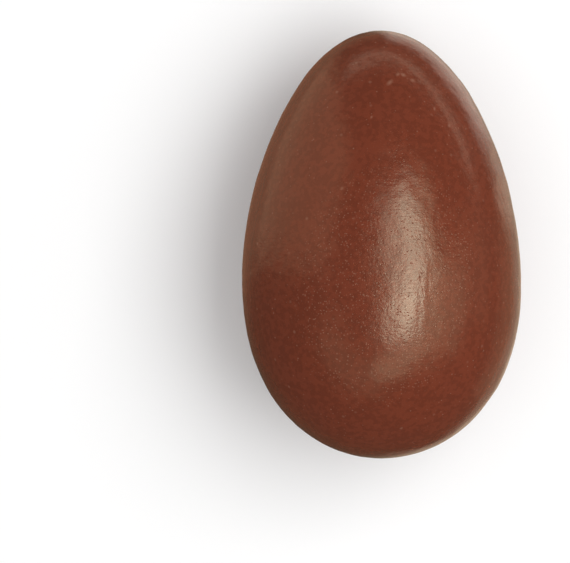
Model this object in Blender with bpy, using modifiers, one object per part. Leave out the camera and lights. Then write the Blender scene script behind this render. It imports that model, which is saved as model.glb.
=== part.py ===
"""A bare moulded milk-chocolate egg that lies on its side, on a small flat spot.

Units are metres and +Z is up. The egg's long axis runs along Y, pointed end towards +Y. An egg
that lies on a table dips its pointed end until its weight is over the spot that it rests on, so
the long axis dips by an angle that is worked out from the egg's profile. The origin is at the
middle of the base of the egg's box, on the surface that the egg lies on.
"""

import math

import bpy
from mathutils import Matrix, Vector

# Driving dimensions
LENGTH = 0.0600
GIRTH = 0.0391
FLAT_SPOT_DEPTH = 0.00022

# Profile: how much slimmer the pointed end is, and how full both ends are
TAPER = 0.170
FULLNESS = 0.034

# Fineness of the turned mesh, and of the sums along the axis
STEPS_AROUND = 64
STEPS_ALONG = 36
SLICES = 400
SEARCH_HALVINGS = 30
POLE_MERGE = 0.00001

# Satin milk chocolate
CHOCOLATE_COLOUR = (0.155, 0.043, 0.022, 1.0)
CHOCOLATE_ROUGHNESS = 0.40

HALF_LENGTH = LENGTH / 2
CUTTER_SIDE = 2 * LENGTH

# A station is a place along the axis, from -1 at the blunt end to 1 at the pointed end
STATIONS = [2 * i / SLICES - 1 for i in range(SLICES + 1)]


def swell(station):
    """The egg's radius at a station, as a share of its radius at mid-length."""
    ball = math.sqrt(1 - station ** 2)
    return ball * (1 - TAPER * station + FULLNESS * station ** 2)


MIDDLE_RADIUS = GIRTH / 2 / max(swell(station) for station in STATIONS)


def radius_at(station):
    """The egg's radius at a station."""
    return MIDDLE_RADIUS * swell(station)


def slope_at(station):
    """How fast the radius grows along the axis at a station."""
    step = 1 / SLICES
    growth = radius_at(station + step) - radius_at(station - step)
    return growth / (2 * step * HALF_LENGTH)


def balance_point():
    """Where the centre of mass lies on the axis, measured from mid-length."""
    areas = [swell(station) ** 2 for station in STATIONS]
    moment = sum(station * area for station, area in zip(STATIONS, areas))
    return HALF_LENGTH * moment / sum(areas)


def resting_station():
    """The station that touches the table, where the surface faces away from the centre of mass."""
    low, high = -0.5, 0.5
    for _ in range(SEARCH_HALVINGS):
        middle = (low + high) / 2
        foot_of_normal = HALF_LENGTH * middle + radius_at(middle) * slope_at(middle)
        if foot_of_normal < balance_point():
            low = middle
        else:
            high = middle
    return (low + high) / 2


def half_outline():
    """The half outline in the XZ plane, from the pointed end at the top to the blunt end."""
    outline = []
    for i in range(STEPS_ALONG + 1):
        station = math.cos(math.pi * i / STEPS_ALONG)
        outline.append(Vector((radius_at(station), 0, HALF_LENGTH * station)))
    return outline


def clear_scene():
    """Removes every object that the open file holds."""
    for thing in list(bpy.data.objects):
        bpy.data.objects.remove(thing)


def new_collection(name):
    """A collection of that name in the scene."""
    collection = bpy.data.collections.new(name)
    bpy.context.scene.collection.children.link(collection)
    return collection


def chocolate():
    """The egg's material."""
    material = bpy.data.materials.new("milk_chocolate")
    material.use_nodes = True
    shader = material.node_tree.nodes["Principled BSDF"]
    shader.inputs["Base Color"].default_value = CHOCOLATE_COLOUR
    shader.inputs["Roughness"].default_value = CHOCOLATE_ROUGHNESS
    shader.inputs["Metallic"].default_value = 0.0
    return material


def turned_egg(collection):
    """The egg as its half outline turned round the object's Z axis."""
    outline = half_outline()
    edges = [(i, i + 1) for i in range(STEPS_ALONG)]
    mesh = bpy.data.meshes.new("chocolate_egg")
    mesh.from_pydata(outline, edges, [])
    mesh.materials.append(chocolate())
    egg = bpy.data.objects.new("chocolate_egg", mesh)
    collection.objects.link(egg)
    turn = egg.modifiers.new("turn", "SCREW")
    turn.axis = "Z"
    turn.steps = STEPS_AROUND
    turn.render_steps = STEPS_AROUND
    turn.use_merge_vertices = True
    turn.merge_threshold = POLE_MERGE
    turn.use_smooth_shade = True
    return egg


def lay_down(egg):
    """Lays the egg along Y, dipped so that the station it rests on is the lowest."""
    station = resting_station()
    dip = math.atan(-slope_at(station))
    turn = Matrix.Rotation(-math.pi / 2 - dip, 3, "X")
    resting_spot = turn @ Vector((0, radius_at(station), HALF_LENGTH * station))
    egg.rotation_euler = turn.to_euler()
    egg.location.z = -resting_spot.z - FLAT_SPOT_DEPTH
    bpy.context.view_layer.update()


def centre_over_origin(egg):
    """Slides the egg along the table until the middle of its length is over the origin."""
    shape = egg.evaluated_get(bpy.context.evaluated_depsgraph_get())
    reach = [(shape.matrix_world @ vertex.co).y for vertex in shape.data.vertices]
    egg.location.y = -(min(reach) + max(reach)) / 2


def cut_flat_spot(egg, collection):
    """Cuts off what is below the table, which leaves the flat spot."""
    bpy.ops.mesh.primitive_cube_add(size=CUTTER_SIDE, location=(0, 0, -CUTTER_SIDE / 2))
    cutter = bpy.context.object
    cutter.name = "below_the_table"
    cutter.display_type = "WIRE"
    cutter.hide_render = True
    for home in list(cutter.users_collection):
        home.objects.unlink(cutter)
    collection.objects.link(cutter)
    cut = egg.modifiers.new("flat_spot", "BOOLEAN")
    cut.operation = "DIFFERENCE"
    cut.solver = "EXACT"
    cut.object = cutter


def main():
    clear_scene()
    egg = turned_egg(new_collection("chocolate_egg"))
    lay_down(egg)
    centre_over_origin(egg)
    cut_flat_spot(egg, new_collection("cutters"))


main()
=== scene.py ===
"""The looks of a bare moulded milk-chocolate egg that lies on a pale floor in soft studio light."""

import math

import bmesh
import bpy
import numpy as np
from mathutils import Matrix, Vector


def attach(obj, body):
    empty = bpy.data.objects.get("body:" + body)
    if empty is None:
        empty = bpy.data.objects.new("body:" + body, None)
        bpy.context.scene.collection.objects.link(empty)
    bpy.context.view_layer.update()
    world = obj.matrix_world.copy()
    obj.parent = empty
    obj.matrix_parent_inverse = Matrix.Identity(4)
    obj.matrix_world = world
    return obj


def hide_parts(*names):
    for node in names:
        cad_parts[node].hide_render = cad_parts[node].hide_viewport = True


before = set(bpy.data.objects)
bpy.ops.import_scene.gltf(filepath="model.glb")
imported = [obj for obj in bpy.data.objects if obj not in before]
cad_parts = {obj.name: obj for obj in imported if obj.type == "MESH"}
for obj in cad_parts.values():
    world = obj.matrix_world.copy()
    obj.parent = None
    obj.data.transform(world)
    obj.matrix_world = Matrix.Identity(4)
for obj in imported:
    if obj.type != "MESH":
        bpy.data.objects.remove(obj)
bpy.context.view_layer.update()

CAD_NODE = "chocolate_egg"

# The egg's driving dimensions, as in the CAD model, in metres
LENGTH = 0.0600
GIRTH = 0.0391
FLAT_SPOT_DEPTH = 0.00022
TAPER = 0.170
FULLNESS = 0.034
HALF_LENGTH = LENGTH / 2

# Stations along the egg's axis, and the search for the one that the egg rests on
SLICES = 400
STATIONS = [2 * i / SLICES - 1 for i in range(SLICES + 1)]
SEARCH_START = (-0.5, 0.5)
SEARCH_HALVINGS = 30

# Fineness of the egg's mesh: cells along each edge of the cube that it is blown up from
CELLS = 128

# The photograph's frame, in pixels, and where the egg lies in it
PHOTO_WIDTH = 570
PHOTO_HEIGHT = 563
PHOTO_MIDDLE_X = (PHOTO_WIDTH - 1) / 2
PHOTO_MIDDLE_Y = (PHOTO_HEIGHT - 1) / 2
EGG_CENTRE_X = 380.93
EGG_TOP_Y = 29.50
EGG_BASE_Y = 457.60
EGG_LEAN = math.radians(0.25)
DEPTH_STEPS = 4

# The camera
CAMERA_DISTANCE = 0.60
SENSOR_WIDTH = 36.0
CLIP_START = 0.01
CLIP_END = 10.0

# Gentle swells of the moulded surface, from long to short: wavelength, root mean square height
# and number of waves
SWELLS = (
    (0.0240, 0.000040, 24),
    (0.0110, 0.000020, 32),
    (0.0050, 0.0000090, 48),
    (0.0024, 0.0000056, 64),
    (0.0012, 0.0000040, 96),
)
WAVELENGTH_SPREAD = (0.75, 1.35)
SEED = 11

# Small blisters and pits all over the egg, none finer than the mesh can show
BLISTERS = 90
PITS = 70
BLEMISH_RADIUS = (0.00030, 0.00050)
BLISTER_HEIGHT = (0.000006, 0.000018)
PIT_DEPTH = (0.000008, 0.000020)

# Marks where the photograph shows them, as rounded bars: the pixels of both ends, the radius and
# the height, which is below zero for a dent
SEEN_MARKS = (
    ((434, 108), (434, 108), 0.00036, 0.000022),
    ((441, 117), (441, 117), 0.00034, 0.000018),
    ((448, 125), (450, 126), 0.00040, 0.000024),
    ((372, 116), (372, 116), 0.00036, 0.000022),
    ((373, 128), (375, 129), 0.00034, 0.000016),
    ((390, 82), (392, 80), 0.00040, -0.000024),
    ((397, 76), (399, 75), 0.00036, 0.000022),
    ((403, 72), (405, 73), 0.00040, -0.000022),
    ((410, 78), (413, 79), 0.00040, -0.000026),
    ((418, 82), (420, 83), 0.00036, 0.000022),
    ((487, 402), (487, 402), 0.00300, -0.000110),
    ((497, 160), (497, 160), 0.00330, -0.000110),
    ((465, 88), (465, 88), 0.00300, 0.000090),
    ((425, 264), (421, 336), 0.00085, 0.000022),
)
TINY_AREA = 1e-12

# Scratches that the photograph shows: the pixels of their ends, half width and depth, which is
# below zero where the edge of a scratch is raised
SCRATCHES = (
    ((418.5, 270.0), (420.5, 286.0), 0.00013, 0.000022),
    ((420.5, 282.0), (423.5, 297.0), 0.00013, 0.000022),
    ((422.7, 284.0), (425.0, 297.0), 0.00010, -0.000016),
    ((428.5, 266.0), (427.0, 302.0), 0.00040, 0.000020),
    ((392.0, 294.6), (418.0, 294.2), 0.00012, 0.000018),
    ((402.0, 292.6), (417.0, 291.8), 0.00010, 0.000014),
    ((401.0, 282.0), (416.0, 282.6), 0.00011, 0.000016),
    ((418.0, 272.8), (426.0, 272.2), 0.00010, 0.000016),
    ((390.5, 312.4), (402.0, 311.6), 0.00011, 0.000016),
    ((391.5, 328.0), (404.0, 326.8), 0.00012, 0.000016),
    ((408.0, 334.2), (415.5, 332.2), 0.00011, 0.000016),
)

# The largest pores that the photograph shows in the highlight, in pixels
PORES = (
    (399.5, 311.4), (409.3, 295.3), (418.2, 307.3), (396.5, 230.2), (409.2, 304.2),
    (409.3, 337.2), (415.3, 292.2), (421.3, 273.2), (398.3, 251.3), (389.3, 304.2),
    (401.2, 304.3), (410.2, 262.2), (397.3, 294.3), (400.3, 336.2), (419.3, 333.2),
    (400.2, 236.2), (401.3, 270.2), (411.2, 230.3), (412.7, 222.2), (416.3, 252.2),
)
PORE_RADIUS = 0.00017
PORE_DEPTH = 0.000024

# Faint pale smudges that the photograph shows, painted in pale colour: the pixels of their ends,
# half width and strength
SMUDGES = (
    ((386.0, 86.0), (394.0, 78.0), 0.00042, 0.50),
    ((396.0, 76.0), (400.0, 72.0), 0.00036, 0.46),
    ((401.0, 72.0), (406.0, 77.0), 0.00038, 0.46),
    ((410.0, 78.0), (416.0, 82.0), 0.00040, 0.40),
    ((370.0, 116.0), (373.0, 117.0), 0.00034, 0.46),
    ((433.0, 108.0), (436.0, 109.0), 0.00036, 0.46),
    ((447.0, 124.0), (451.0, 127.0), 0.00036, 0.42),
)

# How far a scratch's or smudge's mask reaches below and above the surface
STREAK_REACH = 0.003

# Pale specks, from crisp to faint: spacing, radius, share of places that have one, strength
SPECKS = (
    (0.0011, 0.00016, 0.5, 0.60),
    (0.0008, 0.00013, 0.5, 0.45),
    (0.0022, 0.00036, 0.5, 0.36),
)

# Very fine pale specks, in the same terms, which are only on an oval patch round the highlight
# between these pixels: partly specks and partly painted glints of the highlight's edge
FINE_SPECKS_AND_PAINTED_GLINTS = (0.00040, 0.00013, 0.8, 0.70)
PAINTED_GLINT_PATCH = ((408.0, 140.0), (362.0, 426.0))
PAINTED_GLINT_HALF_WIDTH = 0.0145

# The patch between these pixels that shows the grain, brushing and fine pits at full height, and
# their share of that height outside it
BRUSHED_PATCH = ((405.0, 194.0), (401.0, 360.0))
BRUSHED_HALF_WIDTH = 0.0125
OUTER_RELIEF = 0.5

# How soft the edges of both patches are
PATCH_FADE = 0.15

# The chocolate's colour, how mottling and flecks change it, where a swing of 1 is the step from
# darker to lighter, and the colour of the specks, smudges and painted glints
CHOCOLATE = (0.1450, 0.0305, 0.0142)
DARKER = 0.92
LIGHTER = 1.08
MOTTLE_SIZE = 0.0040
MOTTLE_DETAIL = 4
FLECK_SIZE = 0.0008
FLECK_DETAIL = 3
FLECK_SWING = 1.125
SPECK_AND_GLINT_COLOUR = (0.30, 0.145, 0.095, 1)

# The chocolate's gloss
GLOSS_ROUGHNESS = (0.175, 0.215)
GLOSS_PATCH_SIZE = 0.0060
GLOSS_DETAIL = 3
IOR = 1.45

# The chocolate's fine relief, and the unit that its material counts heights in
RELIEF_UNIT = 0.001
GRAIN_SIZE = 0.00036
GRAIN_DETAIL = 2
GRAIN_HEIGHT = 0.0000315
BRUSHING_SIZE = (0.0017, 0.00030, 0.0017)
BRUSHING_DETAIL = 1
BRUSHING_HEIGHT = 0.0000165
FINE_PIT_SPACING = 0.00050
FINE_PIT_RADIUS = 0.00014
FINE_PIT_SHARE = 0.7
FINE_PIT_DEPTH = 0.000028

# The range that holds most of a noise, and the places of a mix node's colour sockets
NOISE_RANGE = (0.3, 0.7)
FIRST_COLOUR = 6
SECOND_COLOUR = 7
MIXED_COLOUR = 2

# The floor
FLOOR_SIZE = 4.0
FLOOR_COLOUR = (0.97, 0.97, 0.97, 1)
FLOOR_ROUGHNESS = 0.9
FLOOR_SPECULAR = 0.1

# The softbox, whose direction is given in degrees as for the glows below, and the even light
KEY_POLAR = 24.0
KEY_AZIMUTH = 0.0
KEY_WIDTH = 0.26
KEY_HEIGHT = 0.42
KEY_DISTANCE = 0.45
KEY_RADIANCE = 3.71
EVEN_RADIANCE = 0.670
WHITE = (1, 1, 1, 1)

# The dome, and how soft the edges of its glows are, in degrees: those named key, and the others
DOME_RADIUS = 5.0
DOME_SEGMENTS = 180
DOME_RINGS = 120
KEY_SOFTNESS = 2.2
EDGE_SOFTNESS = 1.2
ROOM_GLOW = 0.08
KEY_TINT = (1.0, 1.05, 0.78)
GLOW_TINT = (1.0, 0.96, 0.62)
SIDE_TINT = (1.0, 0.81, 0.60)
WARM_TINT = (1.0, 0.68, 0.42)
RIM_TINT = (1.0, 0.86, 0.74)
BROWN_TINT = (1.0, 0.42, 0.24)

# What the egg mirrors: from-to polar angle, from-to azimuth, radiance and tint, where polar is
# measured from the way the shown side faces and azimuth from the picture's right to its top
GLOWS = {
    "key_middle": (24.3, 34.9, -1.0, 62.4, 8.5, KEY_TINT),
    "key_lower": (20.8, 31.2, -66.0, -1.0, 8.3, KEY_TINT),
    "key_core": (13.2, 24.0, -61.1, 16.7, 6.0, KEY_TINT),
    "key_inside": (-1.7, 26.9, -95.9, 98.4, 2.93, KEY_TINT),
    "key_outside": (36.8, 48.2, -98.5, 44.0, 2.55, GLOW_TINT),
    "key_corner": (48.2, 59.0, -49.0, -30.0, 1.10, GLOW_TINT),
    "key_low_right": (47.0, 72.0, -31.0, 12.0, 1.15, GLOW_TINT),
    "far_right": (72.0, 98.0, -12.0, 14.0, 0.25, GLOW_TINT),
    "key_low_left": (40.0, 64.0, -158.0, -90.0, 0.52, GLOW_TINT),
    "key_fringe": (-2.0, 14.0, 98.0, 264.0, 0.42, GLOW_TINT),
    "key_low_fringe": (14.0, 34.0, -120.0, -96.0, 0.36, GLOW_TINT),
    "horizon_line": (92.5, 97.5, 22.0, 118.0, 2.6, SIDE_TINT),
    "left_fill": (45.8, 127.1, 125.8, 175.0, 0.86, WARM_TINT),
    "left_rim": (127.0, 146.0, 88.0, 178.0, 0.26, WARM_TINT),
    "left_edge": (146.0, 190.0, 110.0, 185.0, 0.22, BROWN_TINT),
    "right_fill": (112.0, 142.0, -38.0, 12.0, 0.30, WARM_TINT),
    "bright_rim": (121.0, 157.0, 24.0, 82.9, 1.26, RIM_TINT),
    "upper_rim": (117.0, 123.0, 42.0, 61.0, 0.44, RIM_TINT),
    "lower_rim": (125.0, 156.0, 12.2, 18.6, 1.24, SIDE_TINT),
    "right_rim": (138.8, 166.2, -53.9, 9.1, 0.38, SIDE_TINT),
    "top_rim": (144.0, 165.3, 73.8, 92.0, 0.28, SIDE_TINT),
    "behind": (160.3, 190.0, -50.0, 88.0, 0.55, SIDE_TINT),
    "below": (150.0, 190.0, -84.0, -50.0, 0.54, SIDE_TINT),
}


# The egg's shape, how it lies and where the photograph shows it

def fatness(station):
    """How much fatter than a ball the egg is at a station, -1 blunt end to 1 pointed end."""
    return 1 - TAPER * station + FULLNESS * station ** 2


def radius_share(station):
    """The egg's radius at a station of its axis, as a share of its radius at mid-length."""
    return math.sqrt(1 - station ** 2) * fatness(station)


MIDDLE_RADIUS = GIRTH / 2 / max(radius_share(station) for station in STATIONS)


def radius_at(station):
    """The egg's radius at a station."""
    return MIDDLE_RADIUS * radius_share(station)


def slope_at(station):
    """How fast the radius grows along the axis at a station."""
    step = 1 / SLICES
    growth = radius_at(station + step) - radius_at(station - step)
    return growth / (2 * step * HALF_LENGTH)


def balance_point():
    """Where the centre of mass lies on the axis, measured from mid-length."""
    areas = [radius_share(station) ** 2 for station in STATIONS]
    moment = sum(station * area for station, area in zip(STATIONS, areas))
    return HALF_LENGTH * moment / sum(areas)


def resting_station():
    """The station that touches the floor, where the surface faces away from the centre of mass."""
    low, high = SEARCH_START
    for _ in range(SEARCH_HALVINGS):
        middle = (low + high) / 2
        foot_of_normal = HALF_LENGTH * middle + radius_at(middle) * slope_at(middle)
        if foot_of_normal < balance_point():
            low = middle
        else:
            high = middle
    return (low + high) / 2


def resting_place():
    """The turn and move that lay the egg on the floor, from its axis on Z, pointed end up."""
    station = resting_station()
    dip = math.atan(-slope_at(station))
    turn = Matrix.Rotation(-math.pi / 2 - dip, 4, "X")
    spot = turn @ Vector((0, radius_at(station), HALF_LENGTH * station))
    ends = [
        (turn @ Vector((0, side * radius_at(s), HALF_LENGTH * s))).y
        for s in STATIONS
        for side in (-1, 1)
    ]
    middle = -(min(ends) + max(ends)) / 2
    return Matrix.Translation((0, middle, -spot.z - FLAT_SPOT_DEPTH)) @ turn


REST = resting_place()
EGG_MIDDLE = REST.to_translation()
EGG_AXIS = (REST.to_3x3() @ Vector((0, 0, 1))).normalized()
EGG_RIGHT = Vector((1, 0, 0))
EGG_FACE = EGG_RIGHT.cross(EGG_AXIS)
METRES_PER_PIXEL = LENGTH / (EGG_BASE_Y - EGG_TOP_Y)
CAMERA_RIGHT = (PHOTO_MIDDLE_X - EGG_CENTRE_X) * METRES_PER_PIXEL
CAMERA_UP = ((EGG_TOP_Y + EGG_BASE_Y) / 2 - PHOTO_MIDDLE_Y) * METRES_PER_PIXEL


def seen_at(pixel):
    """The point of the egg's shown side that a pixel of the photograph shows."""
    across = (pixel[0] - PHOTO_MIDDLE_X) * METRES_PER_PIXEL
    along = (PHOTO_MIDDLE_Y - pixel[1]) * METRES_PER_PIXEL
    depth = 0
    for _ in range(DEPTH_STEPS):
        nearness = 1 - depth / CAMERA_DISTANCE
        right = CAMERA_RIGHT + across * nearness
        up = CAMERA_UP + along * nearness
        depth = math.sqrt(max(0, radius_at(up / HALF_LENGTH) ** 2 - right ** 2))
    return EGG_MIDDLE + EGG_RIGHT * right + EGG_AXIS * up + EGG_FACE * depth


# The relief that the egg's mesh is fine enough for

def swells(points, draw):
    """How high the gentle swells lift each point."""
    lift = np.zeros(len(points))
    for wavelength, height, waves in SWELLS:
        ways = draw.normal(size=(waves, 3))
        ways /= np.linalg.norm(ways, axis=1)[:, None]
        ways *= 2 * math.pi / (wavelength * draw.uniform(*WAVELENGTH_SPREAD, (waves, 1)))
        starts = draw.uniform(0, 2 * math.pi, waves)
        lift += height * math.sqrt(2 / waves) * np.sin(points @ ways.T + starts).sum(axis=1)
    return lift


def mark(points, start, end, radius, height):
    """How far a rounded bar, a bump or a dent, moves each point outwards."""
    along = end - start
    share = (points - start) @ along / max(along @ along, TINY_AREA)
    nearest = start + np.clip(share, 0, 1)[:, None] * along
    apart = ((points - nearest) ** 2).sum(axis=1) / radius ** 2
    return height * np.maximum(0, 1 - apart) ** 2


def marks(points, draw):
    """How far the marks that the photograph shows, and the blisters and pits, move each point."""
    lift = np.zeros(len(points))
    for start, end, radius, height in SEEN_MARKS:
        lift += mark(points, np.array(seen_at(start)), np.array(seen_at(end)), radius, height)
    for k in range(BLISTERS + PITS):
        height = draw.uniform(*BLISTER_HEIGHT) if k < BLISTERS else -draw.uniform(*PIT_DEPTH)
        place = points[draw.integers(len(points))]
        lift += mark(points, place, place, draw.uniform(*BLEMISH_RADIUS), height)
    return lift


# Building blocks of materials

def connect(tree, socket, value):
    """Gives a socket a value or another node's output."""
    if isinstance(value, bpy.types.NodeSocket):
        tree.links.new(value, socket)
    else:
        socket.default_value = value


def reckon(tree, operation, *values):
    """The result of a calculation on values or on other nodes' outputs."""
    made = tree.nodes.new("ShaderNodeMath")
    made.operation = operation
    for socket, value in zip(made.inputs, values):
        connect(tree, socket, value)
    return made.outputs["Value"]


def remap(tree, value, low, high, start, end):
    """A value moved smoothly from the range low-high to the range start-end."""
    made = tree.nodes.new("ShaderNodeMapRange")
    made.interpolation_type = "SMOOTHSTEP"
    for socket, given in zip(made.inputs, (value, low, high, start, end)):
        connect(tree, socket, given)
    return made.outputs["Result"]


def mixed(tree, factor, one, other):
    """A blend of two colours."""
    made = tree.nodes.new("ShaderNodeMix")
    made.data_type = "RGBA"
    connect(tree, made.inputs["Factor"], factor)
    connect(tree, made.inputs[FIRST_COLOUR], one)
    connect(tree, made.inputs[SECOND_COLOUR], other)
    return made.outputs[MIXED_COLOUR]


def noise(tree, where, size, detail):
    """A noise between 0 and 1 with features of that size."""
    made = tree.nodes.new("ShaderNodeTexNoise")
    connect(tree, made.inputs["Vector"], where)
    made.inputs["Scale"].default_value = 1 / size
    made.inputs["Detail"].default_value = detail
    return made.outputs["Fac"]


def dots(tree, where, spacing, radius, share):
    """Round dots, 1 in their middles and 0 outside, in that share of cells of that spacing."""
    cells = tree.nodes.new("ShaderNodeTexVoronoi")
    connect(tree, cells.inputs["Vector"], where)
    cells.inputs["Scale"].default_value = 1 / spacing
    dot = remap(tree, cells.outputs["Distance"], 0, radius / spacing, 1, 0)
    chance = tree.nodes.new("ShaderNodeSeparateColor")
    tree.links.new(cells.outputs["Color"], chance.inputs["Color"])
    kept = reckon(tree, "LESS_THAN", chance.outputs["Red"], share)
    return reckon(tree, "MULTIPLY", dot, kept)


def mapped(tree, where, size, place=(0, 0, 0), turn=(0, 0, 0)):
    """The coordinates seen from a place, turned, and measured in sizes along each axis."""
    made = tree.nodes.new("ShaderNodeMapping")
    made.vector_type = "TEXTURE"
    connect(tree, made.inputs["Vector"], where)
    made.inputs["Location"].default_value = place
    made.inputs["Rotation"].default_value = turn
    made.inputs["Scale"].default_value = size
    return made.outputs["Vector"]


def rounded(tree, local):
    """1 at the coordinates' origin, falling smoothly to 0 one unit away from it."""
    ball = tree.nodes.new("ShaderNodeTexGradient")
    ball.gradient_type = "SPHERICAL"
    tree.links.new(local, ball.inputs["Vector"])
    return remap(tree, ball.outputs["Fac"], 0, 1, 0, 1)


# Masks for what the photograph shows on the egg's shown side

def streak(tree, where, ends, half_width, reach=STREAK_REACH):
    """A long mark between two pixels, 1 in its middle and 0 outside."""
    start, end = (seen_at(pixel) for pixel in ends)
    along = end - start
    across = along.cross(EGG_FACE).normalized()
    out = across.cross(along).normalized()
    turn = Matrix((across, along.normalized(), out)).transposed().to_euler()
    size = (half_width, along.length / 2, reach)
    return rounded(tree, mapped(tree, where, size, (start + end) / 2, turn))


def patch(tree, where, ends, half_width, outside, inside):
    """One value outside an oval patch between two pixels, and another value well inside it."""
    oval = streak(tree, where, ends, half_width, half_width)
    return remap(tree, oval, 0, PATCH_FADE, outside, inside)


def pore(tree, where, pixel):
    """A round pit at a pixel, 1 in its middle and 0 outside."""
    return rounded(tree, mapped(tree, where, (PORE_RADIUS,) * 3, seen_at(pixel)))


# The chocolate

def mottled(tree, where):
    """The chocolate's own colour, a little darker or lighter from place to place."""
    mottle = remap(tree, noise(tree, where, MOTTLE_SIZE, MOTTLE_DETAIL), *NOISE_RANGE, 0, 1)
    flecks = noise(tree, where, FLECK_SIZE, FLECK_DETAIL)
    swing = remap(tree, flecks, *NOISE_RANGE, -FLECK_SWING, FLECK_SWING)
    dark = (*(DARKER * part for part in CHOCOLATE), 1)
    light = (*(LIGHTER * part for part in CHOCOLATE), 1)
    return mixed(tree, reckon(tree, "ADD", mottle, swing), dark, light)


def speckled(tree, where, colour):
    """The colour with the pale specks, smudges and painted glints on it."""
    for spacing, radius, share, strength in SPECKS:
        specks = reckon(tree, "MULTIPLY", dots(tree, where, spacing, radius, share), strength)
        colour = mixed(tree, specks, colour, SPECK_AND_GLINT_COLOUR)
    # Fine pale specks on a patch round the highlight: painted glints as well as specks
    spacing, radius, share, strength = FINE_SPECKS_AND_PAINTED_GLINTS
    painted_glint_mask = patch(tree, where, PAINTED_GLINT_PATCH, PAINTED_GLINT_HALF_WIDTH, 0, strength)
    specks = reckon(tree, "MULTIPLY", dots(tree, where, spacing, radius, share), painted_glint_mask)
    colour = mixed(tree, specks, colour, SPECK_AND_GLINT_COLOUR)
    for start, end, half_width, strength in SMUDGES:
        smudge = reckon(tree, "MULTIPLY", streak(tree, where, (start, end), half_width), strength)
        colour = mixed(tree, smudge, colour, SPECK_AND_GLINT_COLOUR)
    return colour


def lowered(tree, height, mask, depth):
    """The height less the depth where the mask is 1."""
    sunk = reckon(tree, "MULTIPLY", mask, depth / RELIEF_UNIT)
    return reckon(tree, "SUBTRACT", height, sunk)


def grained(tree, where):
    """The height of the grain and the brushing, with the fine pits sunk into them."""
    grain = noise(tree, where, GRAIN_SIZE, GRAIN_DETAIL)
    height = reckon(tree, "MULTIPLY", grain, GRAIN_HEIGHT / RELIEF_UNIT)
    strokes = noise(tree, mapped(tree, where, BRUSHING_SIZE), 1, BRUSHING_DETAIL)
    brushing = reckon(tree, "MULTIPLY", strokes, BRUSHING_HEIGHT / RELIEF_UNIT)
    height = reckon(tree, "ADD", height, brushing)
    pits = dots(tree, where, FINE_PIT_SPACING, FINE_PIT_RADIUS, FINE_PIT_SHARE)
    return lowered(tree, height, pits, FINE_PIT_DEPTH)


def fine_relief(tree, where):
    """The height of the relief that is too fine for the mesh."""
    height = grained(tree, where)
    share = patch(tree, where, BRUSHED_PATCH, BRUSHED_HALF_WIDTH, OUTER_RELIEF, 1)
    height = reckon(tree, "MULTIPLY", height, share)
    for start, end, half_width, depth in SCRATCHES:
        cut = streak(tree, where, (start, end), half_width)
        height = lowered(tree, height, cut, depth)
    for pixel in PORES:
        height = lowered(tree, height, pore(tree, where, pixel), PORE_DEPTH)
    return height


def chocolate():
    """Milk chocolate: mottled and speckled, with painted glints round the highlight, a fine relief
    and a satin gloss that varies.
    """
    material = bpy.data.materials.new("milk_chocolate_surface")
    material.use_nodes = True
    tree = material.node_tree
    shader = tree.nodes["Principled BSDF"]
    where = tree.nodes.new("ShaderNodeTexCoord").outputs["Object"]
    colour = speckled(tree, where, mottled(tree, where))
    gloss = noise(tree, where, GLOSS_PATCH_SIZE, GLOSS_DETAIL)
    bump = tree.nodes.new("ShaderNodeBump")
    bump.inputs["Distance"].default_value = RELIEF_UNIT
    tree.links.new(fine_relief(tree, where), bump.inputs["Height"])
    tree.links.new(colour, shader.inputs["Base Color"])
    roughness = remap(tree, gloss, *NOISE_RANGE, *GLOSS_ROUGHNESS)
    tree.links.new(roughness, shader.inputs["Roughness"])
    tree.links.new(bump.outputs["Normal"], shader.inputs["Normal"])
    shader.inputs["IOR"].default_value = IOR
    return material


# The egg

def added(name, data):
    """A new object in the scene, made of that mesh, light or camera."""
    made = bpy.data.objects.new(name, data)
    bpy.context.scene.collection.objects.link(made)
    return made


def ball_of_cells():
    """A gridded cube's mesh, and its points moved to a unit ball with the cells evened out."""
    bm = bmesh.new()
    bmesh.ops.create_cube(bm, size=2)
    bmesh.ops.subdivide_edges(bm, edges=bm.edges[:], cuts=CELLS - 1, use_grid_fill=True)
    mesh = bpy.data.meshes.new("chocolate_egg_surface")
    bm.to_mesh(mesh)
    bm.free()
    points = np.empty(3 * len(mesh.vertices))
    mesh.vertices.foreach_get("co", points)
    points = np.tan(points.reshape(-1, 3) * math.pi / 4)
    points /= np.linalg.norm(points, axis=1)[:, None]
    return mesh, points


def egg_points(ball):
    """The ball's points moved out to the egg's surface, in the egg's own axes."""
    across = MIDDLE_RADIUS * fatness(ball[:, 2])
    return np.column_stack((ball[:, 0] * across, ball[:, 1] * across, ball[:, 2] * HALF_LENGTH))


def make_egg():
    """The egg as one closed mesh on the floor."""
    mesh, ball = ball_of_cells()
    rest = np.array(REST)
    placed = egg_points(ball) @ rest[:3, :3].T + rest[:3, 3]
    mesh.vertices.foreach_set("co", placed.ravel())
    mesh.update()
    outward = np.empty(placed.size)
    mesh.vertex_normals.foreach_get("vector", outward)
    draw = np.random.default_rng(SEED)
    lift = swells(placed, draw) + marks(placed, draw)
    placed += lift[:, None] * outward.reshape(-1, 3)
    placed[:, 2] = np.maximum(placed[:, 2], 0)
    mesh.vertices.foreach_set("co", placed.ravel())
    mesh.materials.append(chocolate())
    mesh.shade_smooth()
    mesh.update()
    egg = added("moulded_chocolate_egg", mesh)
    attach(egg, "root")
    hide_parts(CAD_NODE)


# The studio

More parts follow.
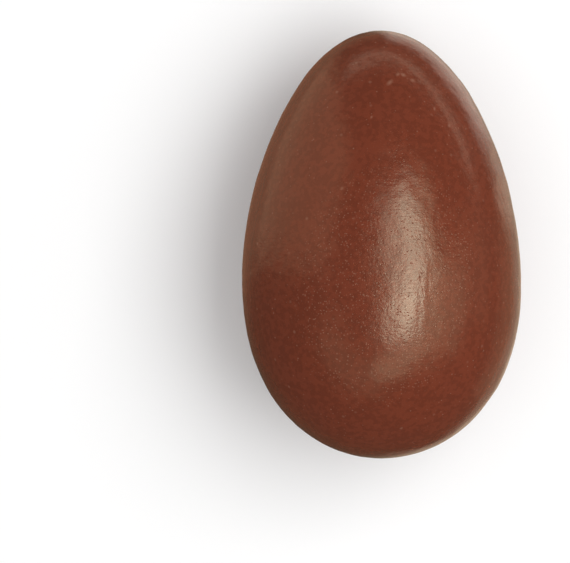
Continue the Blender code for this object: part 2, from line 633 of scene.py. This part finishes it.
def make_floor():
    """A wide pale floor."""
    bpy.ops.mesh.primitive_plane_add(size=FLOOR_SIZE)
    floor = bpy.context.object
    floor.name = "pale_floor"
    material = bpy.data.materials.new("pale_floor")
    material.use_nodes = True
    shader = material.node_tree.nodes["Principled BSDF"]
    shader.inputs["Base Color"].default_value = FLOOR_COLOUR
    shader.inputs["Roughness"].default_value = FLOOR_ROUGHNESS
    shader.inputs["Specular IOR Level"].default_value = FLOOR_SPECULAR
    floor.data.materials.append(material)
    floor.visible_glossy = False


def placement(place, x_axis, y_axis, z_axis):
    """The matrix that puts an object at a place, with its own axes pointing these ways."""
    facing = Matrix((x_axis, y_axis, z_axis)).transposed().to_4x4()
    return Matrix.Translation(place) @ facing


def direction(polar, azimuth):
    """A direction as seen from the egg: polar from the way its shown side faces, azimuth from
    the right of the picture towards its top, both in degrees."""
    p, a = math.radians(polar), math.radians(azimuth)
    sideways = EGG_RIGHT * math.cos(a) + EGG_AXIS * math.sin(a)
    return EGG_FACE * math.cos(p) + sideways * math.sin(p)


def make_softbox():
    """A large flat light that faces the egg, its height along the egg's length."""
    light = bpy.data.lights.new("key_softbox", "AREA")
    light.shape = "RECTANGLE"
    light.size = KEY_WIDTH
    light.size_y = KEY_HEIGHT
    light.energy = KEY_RADIANCE * math.pi * KEY_WIDTH * KEY_HEIGHT
    away = direction(KEY_POLAR, KEY_AZIMUTH)
    up = (EGG_AXIS - away * away.dot(EGG_AXIS)).normalized()
    lamp = added("key_softbox", light)
    lamp.matrix_world = placement(EGG_MIDDLE + away * KEY_DISTANCE, up.cross(away), up, away)
    lamp.visible_glossy = False


def soft_step(degrees, softness):
    """0 well below zero and 1 well above it, with a soft edge."""
    return (1 + np.tanh(degrees / softness / 2)) / 2


def glow_from(polar, azimuth):
    """The light that the egg mirrors from each direction, as a colour."""
    light = np.full((len(polar), 3), ROOM_GLOW) * GLOW_TINT
    widening = np.sin(np.radians(polar))
    for name, (low, high, start, end, radiance, tint) in GLOWS.items():
        softness = KEY_SOFTNESS if name.startswith("key") else EDGE_SOFTNESS
        off_middle = np.abs((azimuth - (start + end) / 2 + 180) % 360 - 180)
        band = soft_step(polar - low, softness) * soft_step(high - polar, softness)
        arc = soft_step(((end - start) / 2 - off_middle) * widening, softness)
        light += radiance * (band * arc)[:, None] * tint
    return light


def dome_mesh():
    """A unit ball whose points hold, as their glow, the light from their directions."""
    bm = bmesh.new()
    bmesh.ops.create_uvsphere(bm, u_segments=DOME_SEGMENTS, v_segments=DOME_RINGS, radius=1)
    mesh = bpy.data.meshes.new("reflected_studio")
    bm.to_mesh(mesh)
    bm.free()
    ways = np.empty(3 * len(mesh.vertices))
    mesh.vertices.foreach_get("co", ways)
    x, y, z = ways.reshape(-1, 3).T
    polar = np.degrees(np.arccos(np.clip(z, -1, 1)))
    azimuth = np.degrees(np.arctan2(y, x))
    colours = np.ones((len(z), 4))
    colours[:, :3] = glow_from(polar, azimuth)
    glow = mesh.color_attributes.new("glow", "FLOAT_COLOR", "POINT")
    glow.data.foreach_set("color", colours.ravel())
    return mesh


def glowing():
    """A material that shines with the glow of a mesh's points."""
    material = bpy.data.materials.new("reflected_studio")
    material.use_nodes = True
    material.cycles.emission_sampling = "NONE"
    tree = material.node_tree
    tree.nodes.remove(tree.nodes["Principled BSDF"])
    light = tree.nodes.new("ShaderNodeEmission")
    attribute = tree.nodes.new("ShaderNodeAttribute")
    attribute.attribute_name = "glow"
    tree.links.new(attribute.outputs["Color"], light.inputs["Color"])
    tree.links.new(light.outputs["Emission"], tree.nodes["Material Output"].inputs["Surface"])
    return material


def make_dome():
    """A glowing dome that shows only as a reflection in the egg."""
    mesh = dome_mesh()
    mesh.materials.append(glowing())
    dome = added("reflected_studio", mesh)
    facing = placement(EGG_MIDDLE, EGG_RIGHT, EGG_AXIS, EGG_FACE)
    dome.matrix_world = facing @ Matrix.Scale(DOME_RADIUS, 4)
    dome.visible_camera = False
    dome.visible_diffuse = False
    dome.visible_shadow = False
    dome.visible_transmission = False


def make_even_light():
    """A white world that lights everything evenly."""
    world = bpy.data.worlds.new("studio")
    world.use_nodes = True
    background = world.node_tree.nodes["Background"]
    background.inputs["Color"].default_value = WHITE
    background.inputs["Strength"].default_value = EVEN_RADIANCE
    bpy.context.scene.world = world


def make_camera():
    """A long-lens camera square to the egg's length, with the egg where the photograph has it."""
    lean = Matrix.Rotation(-EGG_LEAN, 3, EGG_FACE)
    image_right = lean @ EGG_RIGHT
    image_up = lean @ EGG_AXIS
    target = EGG_MIDDLE + image_right * CAMERA_RIGHT + image_up * CAMERA_UP
    eye = target + EGG_FACE * CAMERA_DISTANCE
    data = bpy.data.cameras.new("camera")
    data.sensor_width = SENSOR_WIDTH
    data.lens = SENSOR_WIDTH * CAMERA_DISTANCE / (PHOTO_WIDTH * METRES_PER_PIXEL)
    data.clip_start = CLIP_START
    data.clip_end = CLIP_END
    camera = added("camera", data)
    camera.matrix_world = placement(eye, image_right, image_up, EGG_FACE)
    bpy.context.scene.camera = camera


make_egg()
make_floor()
make_softbox()
make_dome()
make_even_light()
make_camera()
bpy.context.scene.view_settings.view_transform = "Standard"
